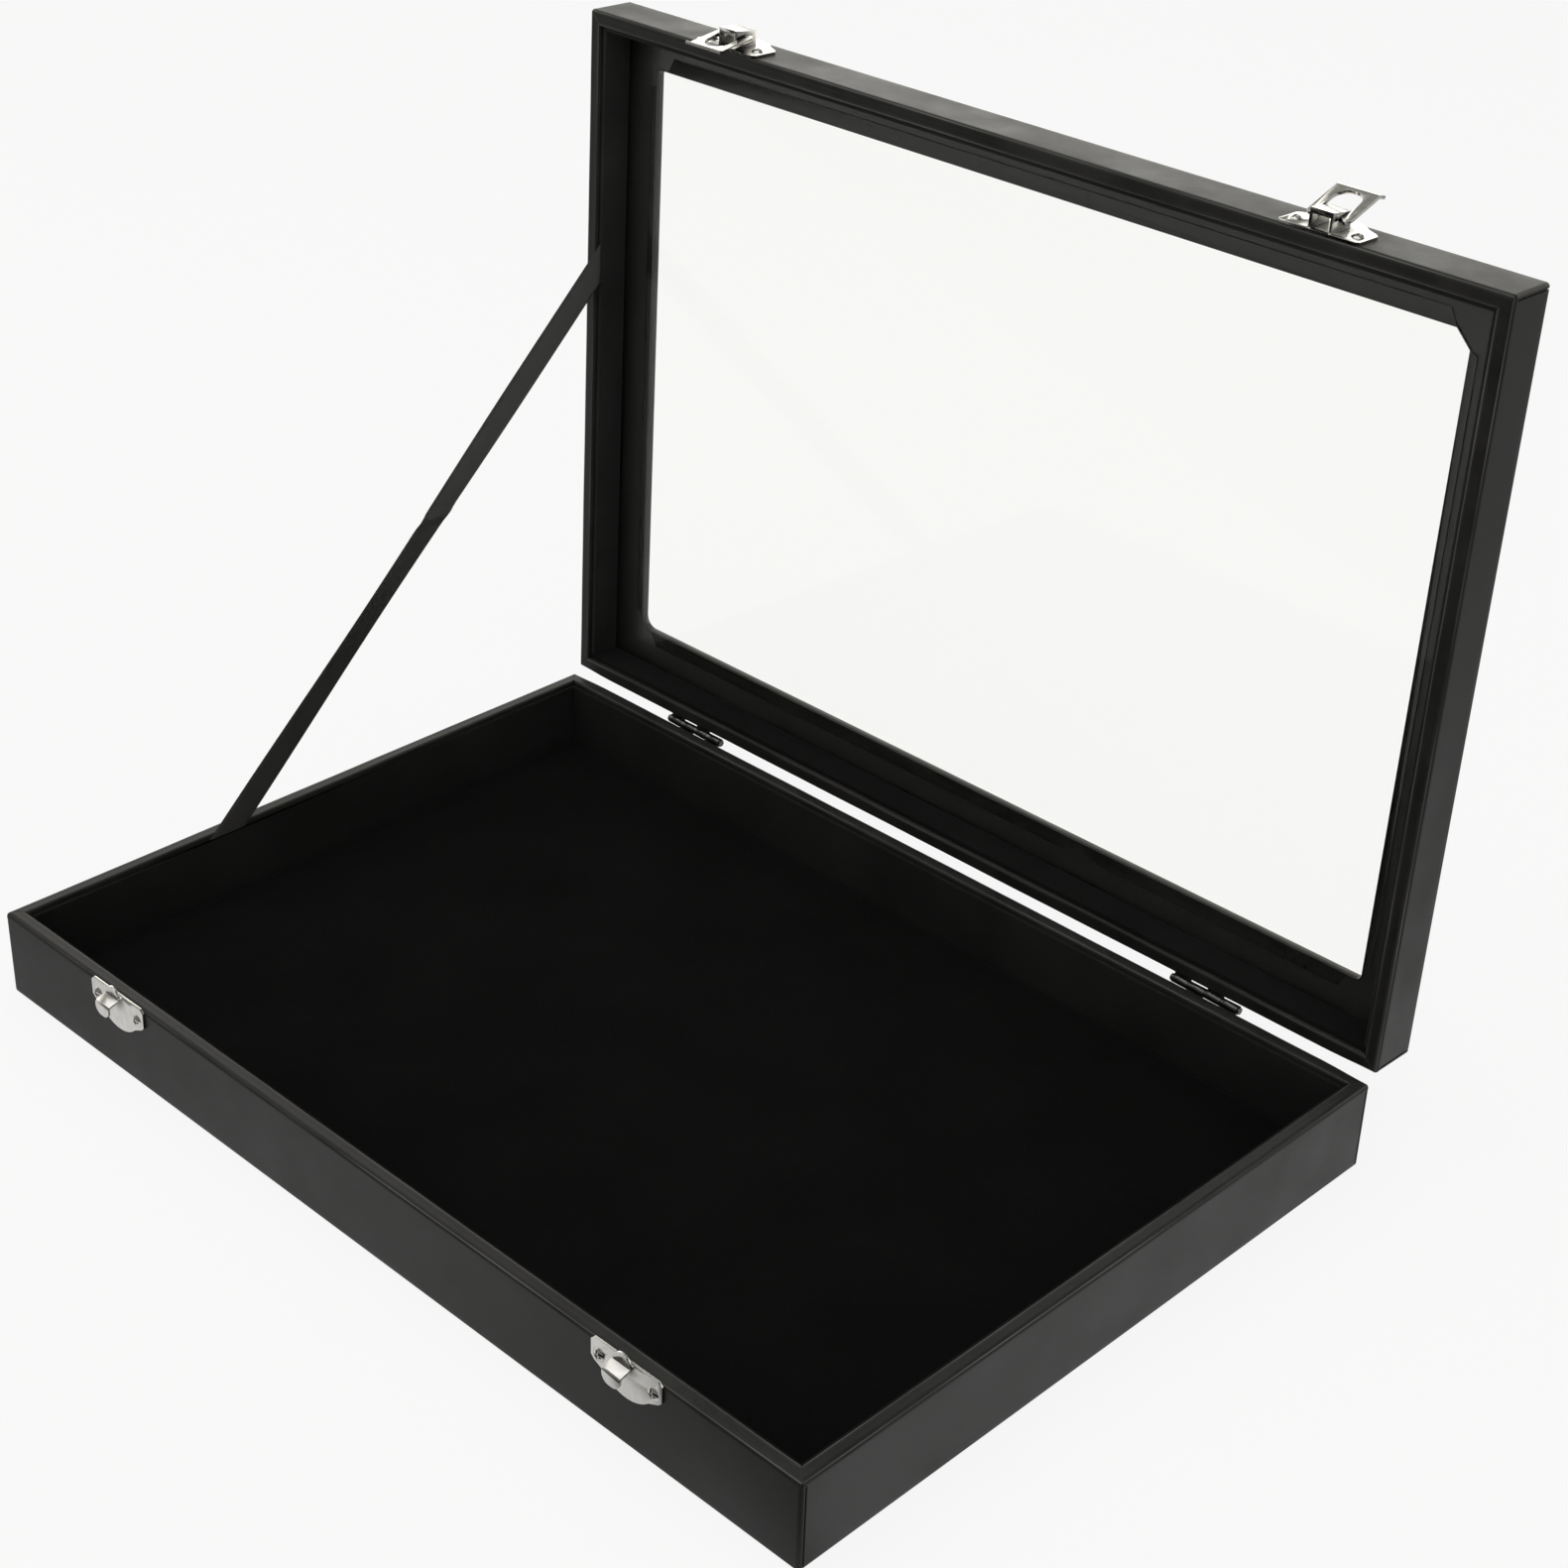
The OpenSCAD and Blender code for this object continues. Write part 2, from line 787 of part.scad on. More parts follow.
module floor_pad() {
    inset = 2 * (rim_w + lining_t + pad_gap);
    color(VELVET)
        centred_box([case_w - inset, case_d - inset, pad_t], floor_z);
}

// Lid

module lid_wall(side) {
    color(BOARD)
        open_lid()
            difference() {
                on_lid_face()
                    wall_board(side, lid_h);
                if (side == FRONT)
                    for (hand = [LEFT, RIGHT])
                        at_hasp(hand)
                            screw_bores();
                if (side == BACK)
                    lid_leaf_slots();
            }
}

module lid_wrap(side) {
    color(LEATHERETTE)
        open_lid()
            difference() {
                on_lid_face()
                    wrap(side, lid_h, lid_turn_in);
                if (side == FRONT)
                    for (hand = [LEFT, RIGHT])
                        at_hasp(hand)
                            screw_bores();
                if (side == BACK)
                    lid_leaf_slots();
            }
}

module lid_lining(side) {
    color(VELVET)
        difference() {
            open_lid()
                on_lid_face()
                    lining(side, lid_lining_v, lid_h - lining_drop);
            if (side == LEFT_SIDE)
                strap_band(strap_gap);
        }
}

module lid_frame_board() {
    inset = 2 * (cover_t + wall_board_t);
    color(BOARD)
        open_lid()
            on_lid_face()
                translate([0, 0, cover_t])
                    linear_extrude(frame_board_t)
                        difference() {
                            square([case_w - inset, case_d - inset], center = true);
                            window_shape(reveal_t);
                        }
}

// Strips turned in behind the frame, with slanted ends that stop short of the window's corners
module turned_in_strips() {
    corner = max(window_cut, window_back_r, window_r);
    for (side = [FRONT : LEFT_SIDE]) {
        half = (side % 2 == 0 ? window_w : window_d) / 2 - corner;
        across = side % 2 == 0 ? window_d : window_w;
        strip_w = side % 2 == 0 ? turn_in_front : turn_in_side;
        rotate(90 * side)
            translate([0, -across / 2])
                polygon([
                    [-half, -reveal_t / 2], [half, -reveal_t / 2],
                    [half - strip_w / 2, -strip_w], [-half + strip_w / 2, -strip_w]
                ]);
    }
}

module lid_face_cover() {
    color(LEATHERETTE)
        open_lid()
            on_lid_face() {
                linear_extrude(cover_t)
                    difference() {
                        square([case_w - 2 * flap_w, case_d - 2 * flap_w], center = true);
                        window_shape(reveal_t / 2);
                    }
                linear_extrude(glass_v)
                    difference() {
                        window_shape(reveal_t);
                        window_shape(0);
                    }
                translate([0, 0, turn_in_v])
                    linear_extrude(turn_in_t)
                        turned_in_strips();
            }
}

module glass_pane() {
    inset = 2 * (cover_t + wall_board_t + glass_gap);
    color(GLASS)
        open_lid()
            on_lid_face()
                centred_box([case_w - inset, case_d - inset, glass_t], glass_v);
}

base_wall(FRONT);  // base_wall_front
base_wall(RIGHT_SIDE);  // base_wall_right
base_wall(BACK);  // base_wall_back
base_wall(LEFT_SIDE);  // base_wall_left
bottom_board();
base_wrap(FRONT);  // base_wrap_front
base_wrap(RIGHT_SIDE);  // base_wrap_right
base_wrap(BACK);  // base_wrap_back
base_wrap(LEFT_SIDE);  // base_wrap_left
bottom_cover();
base_lining(FRONT);  // base_lining_front
base_lining(RIGHT_SIDE);  // base_lining_right
base_lining(BACK);  // base_lining_back
base_lining(LEFT_SIDE);  // base_lining_left
floor_pad();
lid_wall(FRONT);  // lid_wall_front
lid_wall(RIGHT_SIDE);  // lid_wall_right
lid_wall(BACK);  // lid_wall_back
lid_wall(LEFT_SIDE);  // lid_wall_left
lid_frame_board();
lid_wrap(FRONT);  // lid_wrap_front
lid_wrap(RIGHT_SIDE);  // lid_wrap_right
lid_wrap(BACK);  // lid_wrap_back
lid_wrap(LEFT_SIDE);  // lid_wrap_left
lid_face_cover();
lid_lining(FRONT);  // lid_lining_front
lid_lining(RIGHT_SIDE);  // lid_lining_right
lid_lining(BACK);  // lid_lining_back
lid_lining(LEFT_SIDE);  // lid_lining_left
glass_pane();
catch_plate(LEFT);  // catch_plate_left
catch_plate(RIGHT);  // catch_plate_right
catch_screws();
hasp_plate(LEFT);  // hasp_plate_left
hasp_plate(RIGHT);  // hasp_plate_right
hasp_screws();
hasp_loop(LEFT, loop_latched_angle);  // hasp_loop_left
hasp_loop(RIGHT, loop_back_angle);  // hasp_loop_right
hinge_base_leaf(LEFT);  // hinge_base_leaf_left
hinge_base_leaf(RIGHT);  // hinge_base_leaf_right
hinge_lid_leaf(LEFT);  // hinge_lid_leaf_left
hinge_lid_leaf(RIGHT);  // hinge_lid_leaf_right
hinge_pin(LEFT);  // hinge_pin_left
hinge_pin(RIGHT);  // hinge_pin_right
strap();
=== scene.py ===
"""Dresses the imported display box: covering, velvet, glass, nickel, strap, camera and soft studio light."""
import math

import bmesh
import bpy
from mathutils import Matrix, Vector


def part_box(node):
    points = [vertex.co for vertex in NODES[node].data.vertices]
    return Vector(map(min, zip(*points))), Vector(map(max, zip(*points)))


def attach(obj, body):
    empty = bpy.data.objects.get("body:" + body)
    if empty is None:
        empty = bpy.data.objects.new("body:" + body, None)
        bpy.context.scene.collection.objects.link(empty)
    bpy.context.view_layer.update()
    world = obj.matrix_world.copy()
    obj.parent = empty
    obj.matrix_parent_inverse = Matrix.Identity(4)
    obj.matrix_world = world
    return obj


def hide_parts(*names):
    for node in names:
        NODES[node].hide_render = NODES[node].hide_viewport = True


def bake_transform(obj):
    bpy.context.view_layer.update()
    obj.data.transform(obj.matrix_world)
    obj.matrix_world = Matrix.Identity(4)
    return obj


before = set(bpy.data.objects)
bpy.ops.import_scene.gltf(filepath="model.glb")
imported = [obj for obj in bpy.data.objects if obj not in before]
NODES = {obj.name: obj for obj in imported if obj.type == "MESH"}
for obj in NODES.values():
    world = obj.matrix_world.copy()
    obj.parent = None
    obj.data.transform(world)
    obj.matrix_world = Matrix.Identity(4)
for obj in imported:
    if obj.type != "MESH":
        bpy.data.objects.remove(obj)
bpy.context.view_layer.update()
MM = 0.001
SIDES = ("front", "right", "back", "left")

# Sizes of the case, as in the CAD source, in metres
CASE_W, CASE_D = 350 * MM, 240 * MM
BASE_H, LID_H, LID_GAP = 29.5 * MM, 17.4 * MM, 0.6 * MM
REST = math.radians(91.6)
BOARD_T, COVER_T, FLAP_W = 3.6 * MM, 0.6 * MM, 2.5 * MM
EDGE_R, CORNER_R = 0.8 * MM, 1.2 * MM
RIM_W = BOARD_T + 2 * COVER_T
BASE_TURN_IN, LID_TURN_IN = 14 * MM, 9 * MM
PIN_OUT = 1.75 * MM
STRAP_W, STRAP_T, STRAP_TUCK, STRAP_GAP = 10 * MM, 0.8 * MM, 9 * MM, 0.15 * MM
STRAP_BASE_REACH, STRAP_LID_REACH = 159 * MM, 154.5 * MM

# Softness of the covering: its edges, corner seams, mitres and unevenness
SOFT_R, BACK_R, BACK_FADE = 1.5 * MM, 0.6 * MM, 15 * MM
SEAM_PLACE, SEAM_FLOOR, SEAM_TOP, SEAM_DEPTH = 1.6 * MM, 0.2 * MM, 0.3 * MM, 0.42 * MM
MITRE_DEPTH, MITRE_SWELL, SWELL_REACH = 0.14 * MM, 0.05 * MM, 1 * MM
RIPPLE, RIPPLE_FADE, RIM_SINK = 0.022 * MM, 8 * MM, 0.04 * MM
STATION_GAP, NEAR_CORNER = 5 * MM, (0.25 * MM, 0.9 * MM)
CORNER_TURNS = (12, 24, 34, 40, 43, 45)
SWELL_TURNS = (24, 34, 40)
# Pale lines of the covering on its edge crests, its lower edge and its mitres: partly wear, partly painted
# highlight
WORN_AND_HIGHLIGHT_GREY = (0.13, 0.128, 0.12, 1)
LOW_WEAR_AND_HIGHLIGHT, OUTER_WEAR_AND_HIGHLIGHT, INNER_WEAR_AND_HIGHLIGHT = 0.1, 0.9, 0.7

# Softness of the pad and of the strap
PAD_ROLL, PAD_DROP, PAD_WAVE, PAD_SINK = 2.2 * MM, 1.6 * MM, 0.05 * MM, 0.1 * MM
PAD_STEPS, ROLL_STEPS = 30, (0, 0.06, 0.16, 0.32, 0.6)
STRAP_TWIST, TWIST_END, STRAP_CUP, ROUND_FROM = math.radians(-11), 0.8, 0.25 * MM, 0.9
CREASE_PLACE, CREASE_SLANT, CREASE_WIDTH, CREASE_HEIGHT = 0.55, 0.9, 2.2 * MM, 0.45 * MM
STRAP_STEPS, STRAP_ACROSS = 120, 12

# Rounding of hard edges
MERGE, FLAT_ANGLE, BEVEL_ANGLE, HARD_ANGLE = 2e-6, math.radians(0.4), math.radians(30), math.radians(50)
SHEET_BEVEL, FACE_BEVEL = 0.15 * MM, 0.12 * MM
CARD_BEVEL, LID_CARD_BEVEL = 0.5 * MM, 0.2 * MM
PLATE_BEVEL, LOOP_BEVEL, LEAF_BEVEL, SCREW_BEVEL = 0.16 * MM, 0.2 * MM, 0.1 * MM, 0.08 * MM

# Floor and studio
FLOOR_HALF, FLOOR_Z = 8, -0.3 * MM
FLOOR_WHITE, FLOOR_GLOW = 0.955, 0.92
BANDS_LEFT, BANDS_RIGHT = -0.4, 0.5
BANDS = ((0.0, 0.86), (0.2, 0.56), (0.39, 0.79), (0.48, 0.75), (0.57, 0.58), (0.66, 1.0), (0.71, 0.82),
         (0.78, 0.54), (0.87, 0.42), (0.94, 0.46))
FLOOR_FRONT, FRONT_START, FRONT_END, BAND_GAIN = (0.6, -1.4, 0), 0.248, 0.312, 1.1
ROOM_WARM, ROOM_WHITE = (0.94, 0.927, 0.87, 1), (0.94, 0.94, 0.94, 1)
BRIGHT_SIDE, ROOM_LIGHT = Vector((-0.5, 0.8, 0.2)).normalized(), 0.65
SIDE_START, SIDE_END, DIM_ROOM, BRIGHT_ROOM = -0.1, 0.6, 0.2, 2.25
HIGH_START, HIGH_END, HIGH_LIGHT = 0.46, 0.66, 0.12

PIN = Vector((0, CASE_D / 2 + PIN_OUT, BASE_H + LID_GAP / 2))
OPEN_LID = Matrix.Translation(PIN) @ Matrix.Rotation(-REST, 4, "X") @ Matrix.Translation(-PIN)
LID_FACE = Matrix.Translation((0, 0, BASE_H + LID_GAP + LID_H)) @ Matrix.Diagonal((1, 1, -1, 1))


# Shader nodes

def new_material(name):
    """A material with its nodes, its links, its shader and the place on the object."""
    material = bpy.data.materials.new(name)
    material.use_nodes = True
    nodes = material.node_tree.nodes
    place = nodes.new("ShaderNodeTexCoord").outputs["Object"]
    return material, nodes, material.node_tree.links, nodes["Principled BSDF"], place


def add(nodes, kind, **values):
    """A node with its settings and, for names that are sockets, its input values."""
    node = nodes.new(kind)
    for key, value in values.items():
        if hasattr(node, key):
            setattr(node, key, value)
        else:
            node.inputs[key.replace("_", " ")].default_value = value
    return node


def set_sockets(node, values):
    """Sets constant input values by their names."""
    for name, value in values.items():
        node.inputs[name].default_value = value


def ramp(nodes, *stops):
    """Colour ramp from (position, grey or colour) stops."""
    node = nodes.new("ShaderNodeValToRGB")
    elements = node.color_ramp.elements
    while len(elements) < len(stops):
        elements.new(0.5)
    for element, (position, colour) in zip(elements, stops):
        element.position = position
        element.color = (*([colour] * 3 if isinstance(colour, (int, float)) else colour), 1)
    return node


def tinted(nodes, links, value, low, high, start=0.3):
    """Colour that goes from low to high while a value goes from start to 0.7."""
    node = ramp(nodes, (start, low), (0.7, high))
    links.new(value, node.inputs["Fac"])
    return node.outputs["Color"]


def span(nodes, links, value, low, high, start=0.3, end=0.7, **settings):
    """Number that goes from low to high while a value goes from start to end."""
    node = add(nodes, "ShaderNodeMapRange", From_Min=start, From_Max=end, To_Min=low, To_Max=high,
               **settings)
    links.new(value, node.inputs["Value"])
    return node.outputs["Result"]


def noise(nodes, links, place, **values):
    """Strength of a noise texture at a place."""
    node = add(nodes, "ShaderNodeTexNoise", **values)
    links.new(place, node.inputs["Vector"])
    return node.outputs["Fac"]


def dot(nodes, links, place, axis):
    """How far a place lies along an axis."""
    node = add(nodes, "ShaderNodeVectorMath", operation="DOT_PRODUCT")
    node.inputs[1].default_value = axis
    links.new(place, node.inputs[0])
    return node.outputs["Value"]


def math_node(nodes, links, operation, *values):
    """Output of a math node fed by sockets or numbers."""
    node = add(nodes, "ShaderNodeMath", operation=operation)
    for socket, value in zip(node.inputs, values):
        if isinstance(value, (int, float)):
            socket.default_value = value
        else:
            links.new(value, socket)
    return node.outputs["Value"]


def emboss(nodes, links, shader, height, strength, depth):
    """Gives a shader the relief of a height, depth in metres."""
    bump = add(nodes, "ShaderNodeBump", Strength=strength, Distance=depth)
    links.new(height, bump.inputs["Height"])
    links.new(bump.outputs["Normal"], shader.inputs["Normal"])


def painted_hollow_shade(nodes, links, colour, reach, darkest):
    """The colour with painted shade: darkened by ambient occlusion in hollows and along seams within reach.
    """
    near = add(nodes, "ShaderNodeAmbientOcclusion", samples=12, Distance=reach)
    mix = add(nodes, "ShaderNodeMix", data_type="RGBA", blend_type="MULTIPLY")
    mix.inputs["Factor"].default_value = 1.0
    links.new(colour, mix.inputs["A"])
    links.new(span(nodes, links, near.outputs["AO"], darkest, 1.0, 0.4, 0.92), mix.inputs["B"])
    return mix.outputs["Result"]


# Materials

def leatherette(name, low, high, relief=0.22, rough=(0.36, 0.47), shine=0.2):
    """Black leatherette: fine grain, cloudy gloss, and paler lines on the covering's edges and mitres,
    partly wear and partly painted highlight.
    """
    material, nodes, links, shader, place = new_material(name)
    grain = add(nodes, "ShaderNodeTexVoronoi", feature="F1", Scale=2100.0, Randomness=0.9)
    links.new(place, grain.inputs["Vector"])
    pores = noise(nodes, links, place, Scale=5200.0, Detail=3.0)
    cloud = noise(nodes, links, place, Scale=42.0, Detail=5.0, Roughness=0.6)
    wear_and_highlight = add(nodes, "ShaderNodeAttribute", attribute_name="wear_and_highlight")
    worn_and_highlighted = add(nodes, "ShaderNodeMix", data_type="RGBA", blend_type="MIX")
    worn_and_highlighted.inputs["B"].default_value = WORN_AND_HIGHLIGHT_GREY
    links.new(wear_and_highlight.outputs["Fac"], worn_and_highlighted.inputs["Factor"])
    links.new(tinted(nodes, links, cloud, low, high), worn_and_highlighted.inputs["A"])
    links.new(worn_and_highlighted.outputs["Result"], shader.inputs["Base Color"])
    links.new(span(nodes, links, cloud, *rough), shader.inputs["Roughness"])
    height = math_node(nodes, links, "MULTIPLY_ADD", pores, 0.35, grain.outputs["Distance"])
    emboss(nodes, links, shader, height, relief, 0.12 * MM)
    shader.inputs["Specular IOR Level"].default_value = shine
    return material


def velvet(name, low, high):
    """Deep black velvet with a short nap."""
    material, nodes, links, shader, place = new_material(name)
    nap = noise(nodes, links, place, Scale=1900.0, Detail=4.0)
    brushed = noise(nodes, links, place, Scale=26.0, Detail=3.0)
    links.new(tinted(nodes, links, brushed, low, high, 0.35), shader.inputs["Base Color"])
    emboss(nodes, links, shader, nap, 0.6, 0.3 * MM)
    set_sockets(shader, {"Roughness": 1.0, "Specular IOR Level": 0.0, "Sheen Weight": 0.02,
                         "Sheen Roughness": 0.5})
    return material


def nickel(name, low, high, rough=(0.12, 0.22)):
    """Nickel plate over stamped steel, with faint cloudiness, polishing lines and painted shade in its
    hollows.
    """
    material, nodes, links, shader, place = new_material(name)
    cloud = noise(nodes, links, place, Scale=420.0, Detail=4.0)
    stretch = nodes.new("ShaderNodeMapping")
    stretch.inputs["Scale"].default_value = (0.06, 1, 1)
    links.new(place, stretch.inputs["Vector"])
    lines = noise(nodes, links, stretch.outputs["Vector"], Scale=5200.0, Detail=2.0)
    # Painted shade: ambient occlusion darkens the plating near hooks, screws, knuckles and edges
    colour = painted_hollow_shade(nodes, links, tinted(nodes, links, cloud, low, high), 5 * MM, 0.03)
    links.new(colour, shader.inputs["Base Color"])
    links.new(span(nodes, links, cloud, *rough), shader.inputs["Roughness"])
    emboss(nodes, links, shader, lines, 0.12, 0.05 * MM)
    shader.inputs["Metallic"].default_value = 1.0
    return material


def glass():
    """Clear glass with a trace of yellow-green and the faintest smears."""
    material, nodes, links, shader, place = new_material("glass")
    smear = noise(nodes, links, place, Scale=18.0, Detail=6.0, Roughness=0.7)
    links.new(span(nodes, links, smear, 0.0, 0.012, 0.45, 0.75), shader.inputs["Roughness"])
    set_sockets(shader, {"Base Color": (0.995, 0.998, 0.978, 1), "Transmission Weight": 1.0, "IOR": 1.15})
    return material


def pressed_fibres(name, low, high, relief, depth, sockets, **texture):
    """Board or paper, mottled by its fibres."""
    material, nodes, links, shader, place = new_material(name)
    fibres = noise(nodes, links, place, **texture)
    links.new(tinted(nodes, links, fibres, low, high), shader.inputs["Base Color"])
    emboss(nodes, links, shader, fibres, relief, depth)
    set_sockets(shader, sockets)
    return material


LEATHERETTE = leatherette("leatherette", (0.008, 0.0079, 0.0075), (0.0188, 0.0186, 0.0177),
                          rough=(0.33, 0.5))
# Painted reflection: the strips turned in round the window are a paler, glossier copy of the covering,
# standing in for the glass's reflection over them
TURNED_IN_PAINTED_REFLECTION = leatherette("leatherette_turned_in_painted_reflection", (0.014, 0.0138, 0.013), (0.02, 0.0198, 0.0186),
                        relief=0.1, rough=(0.16, 0.26), shine=0.46)
STRAPPING = leatherette("leatherette_strap", (0.034, 0.0335, 0.0325), (0.046, 0.0454, 0.044), relief=0.05)
# The same velvet in four tones, painted for how light falls: the pad darkest, the base linings painted
# lighter, the lid's linings lighter still, and the lid's back lining painted darker for the shade at the
# hinges
VELVET = velvet("velvet", 0.0033, 0.0043)
BASE_LINING_PAINTED_LIGHTER = velvet("velvet_painted_lighter", 0.0095, 0.014)
LID_BACK_LINING_PAINTED_SHADE = velvet("velvet_painted_shade_at_hinges", 0.006, 0.009)
LID_LINING_PAINTED_LIGHT = velvet("velvet_painted_light_in_lid", 0.016, 0.024)
NICKEL = nickel("nickel", (0.68, 0.665, 0.63), (0.8, 0.785, 0.75))
# The hinges' nickel: the same plating, smoother, with its colour painted far darker to stand in for the
# shade and dark reflections in the slot between the rims
NICKEL_PAINTED_DARK = nickel("nickel_painted_dark", (0.09, 0.089, 0.087), (0.13, 0.129, 0.126), rough=(0.05, 0.1))
GLASS = glass()
BOARD = pressed_fibres("fibreboard", (0.16, 0.10, 0.06), (0.30, 0.21, 0.13), 0.4, 0.1 * MM,
                       {"Roughness": 0.85}, Scale=900.0, Detail=6.0, Roughness=0.7)
PAPER = pressed_fibres("black_paper", (0.0105, 0.0105, 0.0098), (0.019, 0.019, 0.0178), 0.3, 0.08 * MM,
                       {"Roughness": 0.4, "Specular IOR Level": 0.36}, Scale=1300.0, Detail=5.0)


# Making pieces

def link_object(name, data):
    """A new object in the scene."""
    thing = bpy.data.objects.new(name, data)
    bpy.context.scene.collection.objects.link(thing)
    return thing


def make_piece(name, points, faces, material, wear_and_highlight=None):
    """A smooth-shaded mesh, with its sharpest edges left hard."""
    mesh = bpy.data.meshes.new(name)
    mesh.from_pydata([tuple(p) for p in points], [], faces)
    mesh.update()
    if wear_and_highlight:
        mesh.attributes.new("wear_and_highlight", "FLOAT", "POINT").data.foreach_set("value", wear_and_highlight)
    bm = bmesh.new()
    bm.from_mesh(mesh)
    bmesh.ops.remove_doubles(bm, verts=bm.verts, dist=1e-6)
    bmesh.ops.recalc_face_normals(bm, faces=bm.faces)
    for face in bm.faces:
        face.smooth = True
    for edge in bm.edges:
        edge.smooth = edge.is_boundary or edge.calc_face_angle(0) < HARD_ANGLE
    bm.to_mesh(mesh)
    bm.free()
    mesh.materials.append(material)
    return link_object(name, mesh)


def stand_for(piece, node, body):
    """Lets a piece take a node's place on its body."""
    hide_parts(node)
    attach(piece, body)


def bevelled(node, material, body, width, segments=2):
    """The node's own shape with its sharp edges rounded, standing in for the node."""
    bm = bmesh.new()
    bm.from_mesh(NODES[node].data)
    bmesh.ops.remove_doubles(bm, verts=bm.verts, dist=MERGE)
    bmesh.ops.dissolve_limit(bm, angle_limit=FLAT_ANGLE, verts=bm.verts, edges=bm.edges)
    for face in bm.faces:
        face.smooth = True
    mesh = bpy.data.meshes.new("rounded_" + node)
    bm.to_mesh(mesh)
    bm.free()
    mesh.materials.clear()
    mesh.materials.append(material)
    piece = link_object("rounded_" + node, mesh)
    bevel = piece.modifiers.new("bevel", "BEVEL")
    bevel.width = width
    bevel.segments = segments
    bevel.limit_method = "ANGLE"
    bevel.angle_limit = BEVEL_ANGLE
    bevel.harden_normals = True
    stand_for(piece, node, body)
    return piece


def tube(rings, size):
    """Faces of a tube of rings with size points each, closed at both ends."""
    faces = []
    for i in range(rings - 1):
        for j in range(size):
            a, b = i * size + j, i * size + (j + 1) % size
            faces.append((a, b, b + size, a + size))
    faces.append(tuple(range(size)))
    faces.append(tuple(range((rings - 1) * size, rings * size)))
    return faces


# Covering

def arc(cu, cv, r, start, end, count):
    """Points and outward directions on an arc of the covering's section, angles in degrees."""
    for i in range(count + 1):
        a = math.radians(start + (end - start) * i / count)
        yield cu + r * math.cos(a), cv + r * math.sin(a), math.cos(a), math.sin(a)


def rounding(side, x, end):
    """Radius of the covering's outer edge, tighter along the hinges, where base and lid nearly meet."""
    if SIDES[side] != "back":
        return SOFT_R
    t = min(1, max(0, (abs(x) - end + BACK_FADE) / BACK_FADE))
    return BACK_R + (SOFT_R - BACK_R) * t * t * (3 - 2 * t)


def wrap_section(h, turn_in, soft):
    """Section of the covering, from its flap on the closed side up the outer face, over the rim and down
    inside. Each point is (u, v, outward u, outward v, zone, edge line), the edge line being a paler line of
    wear and painted highlight on the edge crests."""
    inner = RIM_W - EDGE_R
    top = h / MM
    points = [(FLAP_W, 0, 0, -1, "flap", 0), (1.6 * MM, 0, 0, -1, "flap", 0)]
    points += [(*p, "low", LOW_WEAR_AND_HIGHLIGHT * math.sin(math.pi * i / 5)) for i, p in
               enumerate(arc(EDGE_R, EDGE_R, EDGE_R, 270, 180, 5))]
    for v in (2.5, 5, top * 0.5, top - 6, top - 4.2, top - 2.7, top - 2):
        points.append((0, v * MM, -1, 0, "face", 0))
    points += [(*p, "edge", OUTER_WEAR_AND_HIGHLIGHT * math.exp(-((i - 5) / 0.6) ** 2)) for i, p in
               enumerate(arc(soft, h - soft, soft, 180, 90, 10))]
    for u in (2, 2.6, 3.2):
        points.append((u * MM, h, 0, 1, "rim", 0))
    points += [(*p, "edge", INNER_WEAR_AND_HIGHLIGHT * math.exp(-((i - 1) / 0.7) ** 2)) for i, p in
               enumerate(arc(inner, h - EDGE_R, EDGE_R, 90, 0, 6))]
    points += [(RIM_W, h - 2.5 * MM, 1, 0, "inside", 0), (RIM_W, h - turn_in, 1, 0, "inside", 0)]
    hidden = [(RIM_W - COVER_T, h - turn_in), (RIM_W - COVER_T, h - COVER_T), (COVER_T, h - COVER_T),
              (COVER_T, COVER_T), (FLAP_W, COVER_T)]
    points += [(u, v, 0, 0, "hidden", 0) for u, v in hidden]
    return points


def wrap_stations(end, seam):
    """Where the sections of a side stand: (0, place along it), or (-1 or 1, degrees round that corner).
    The short sides have a seam near each corner, and sections at its edges."""
    steps = int(2 * end / STATION_GAP)
    marks = {round(-end + 2 * end * i / steps, 6) for i in range(steps + 1)}
    marks |= {hand * (end - d) for hand in (-1, 1) for d in NEAR_CORNER}
    if seam:
        edges = (-SEAM_TOP, -SEAM_FLOOR, SEAM_FLOOR, SEAM_TOP)
        marks |= {hand * (seam - d) for hand in (-1, 1) for d in edges}
    first = [(-1, turn) for turn in reversed(CORNER_TURNS)]
    last = [(1, turn) for turn in CORNER_TURNS]
    return first + [(0, mark) for mark in sorted(marks)] + last


def ripple(x, v, seed):
    """Small unevenness of glued covering, in metres."""
    a = math.sin(x / 0.0147 + 1.7 * seed) + 0.7 * math.sin(x / 0.0061 + 2.9 * seed + v * 130)
    return RIPPLE * (a + 0.6 * math.sin(x / 0.031 - v * 210 + seed))


def wear_and_highlight_strength(x, seed):
    """How strong the pale edge line of wear and painted highlight is at a place along a side, from 0.1 to 1.
    It is strongest at the right end of the base's front, and at the front of its right side."""
    a = 0.45 + 0.3 * math.sin(x / 0.027 + 2.3 * seed) + 0.2 * math.sin(x / 0.0083 + 1.1 * seed)
    if seed == 0:
        a += 4 * x
    elif seed == 1:
        a -= 3 * x
    return min(1.0, max(0.1, a))


